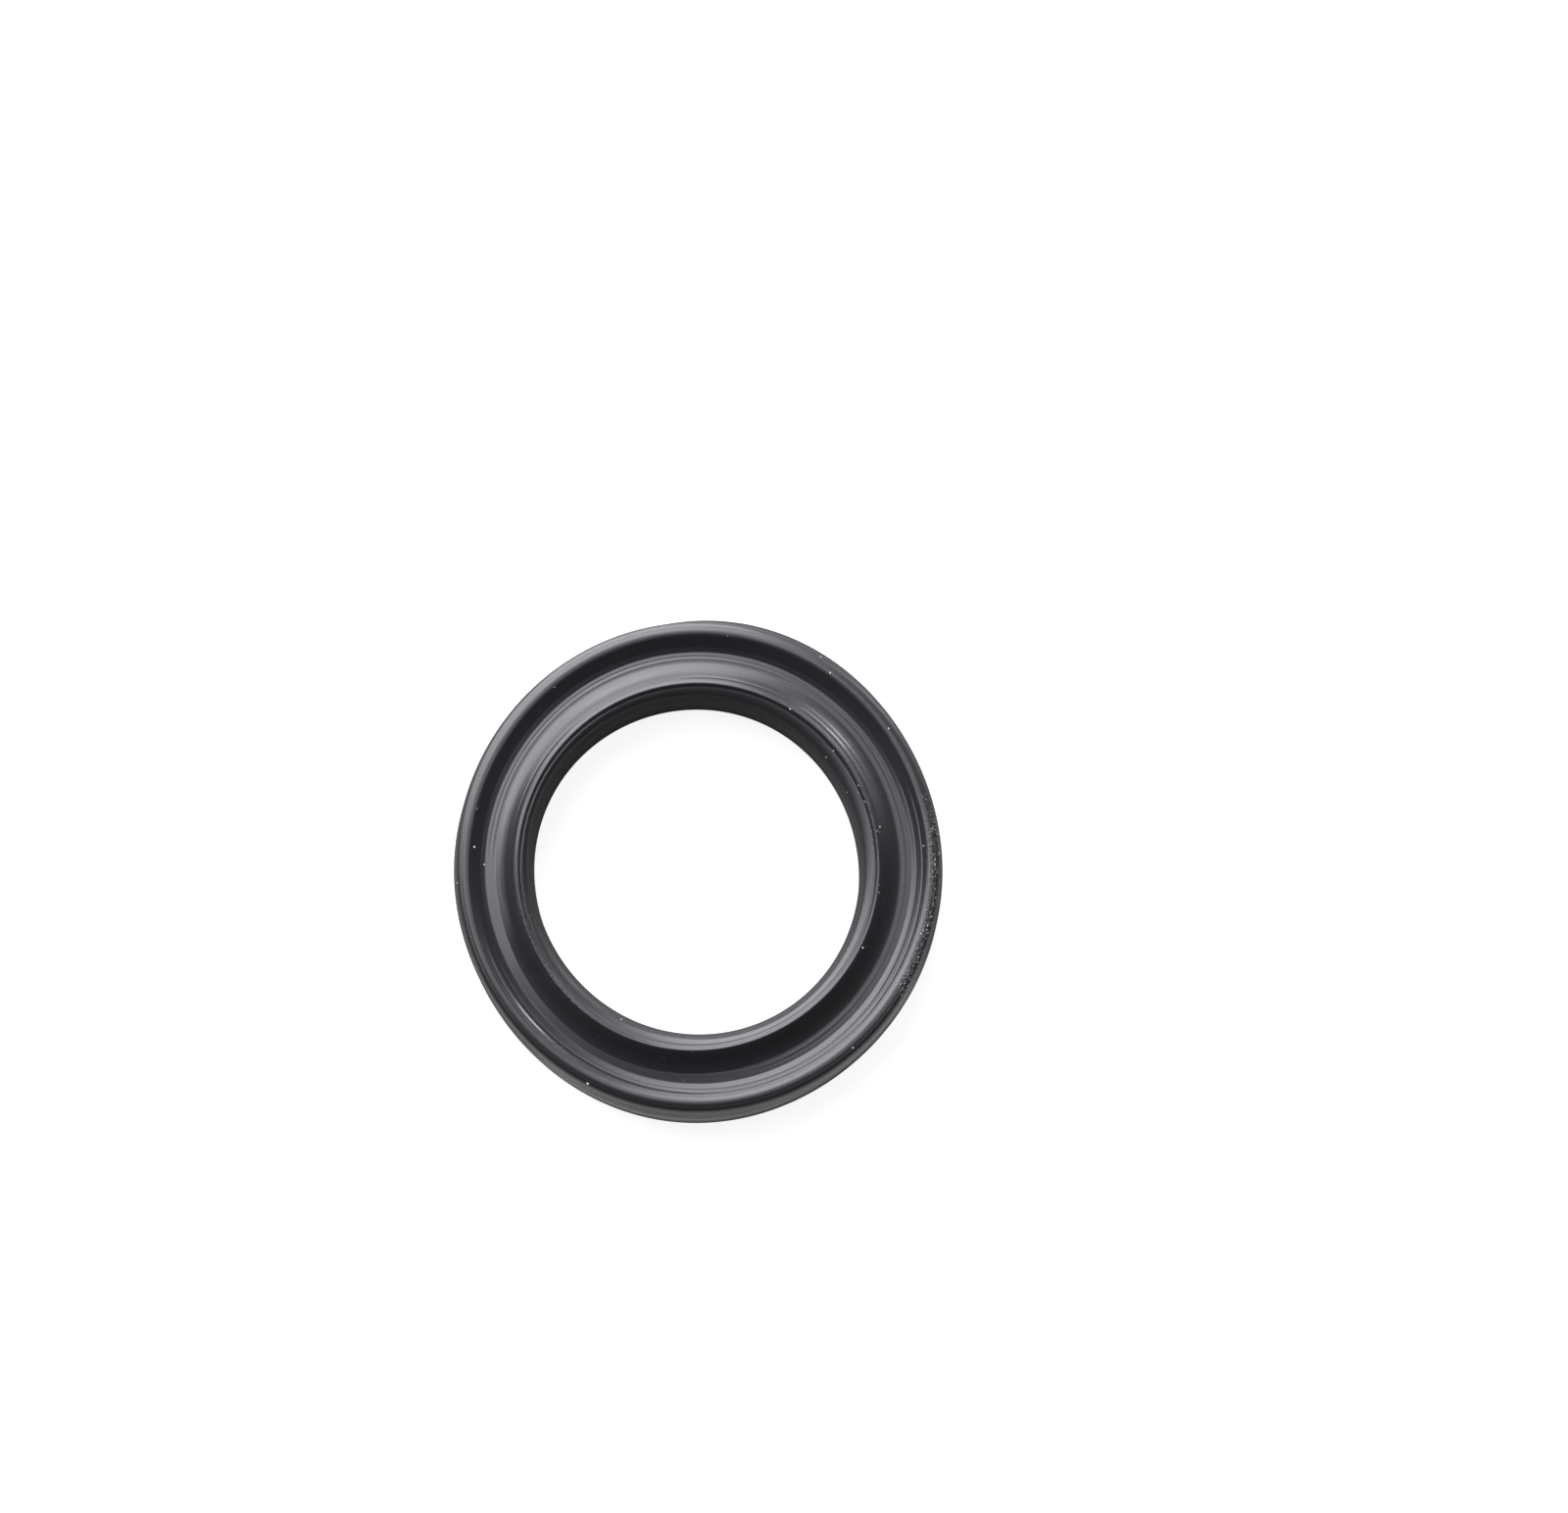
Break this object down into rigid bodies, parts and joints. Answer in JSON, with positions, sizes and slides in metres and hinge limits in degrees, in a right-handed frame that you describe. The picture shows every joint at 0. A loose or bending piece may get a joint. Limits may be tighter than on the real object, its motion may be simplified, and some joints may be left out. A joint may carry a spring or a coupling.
{
  "type": "lip-profiled o-ring seal",
  "caption": "Small black rubber ring seal with a lipped face: a rounded outer lip and a higher inner lip with a narrow crest stand on either side of a shallow groove, above a square heel.",
  "frame": {"origin": "centre of the ring on its axis, in the plane of the flat heel face that it lies on", "axes": "+Z along the ring's axis, from the heel face towards the tops of the lips; +X and +Y lie in the heel face and are equal, because the ring is a body of revolution"},
  "size_m": [0.03, 0.03, 0.005],
  "materials": {
    "seal_rubber": "satin, as moulded"
  },
  "bodies": {
    "root": {"seal_ring": "seal_rubber"}
  },
  "joints": []
}
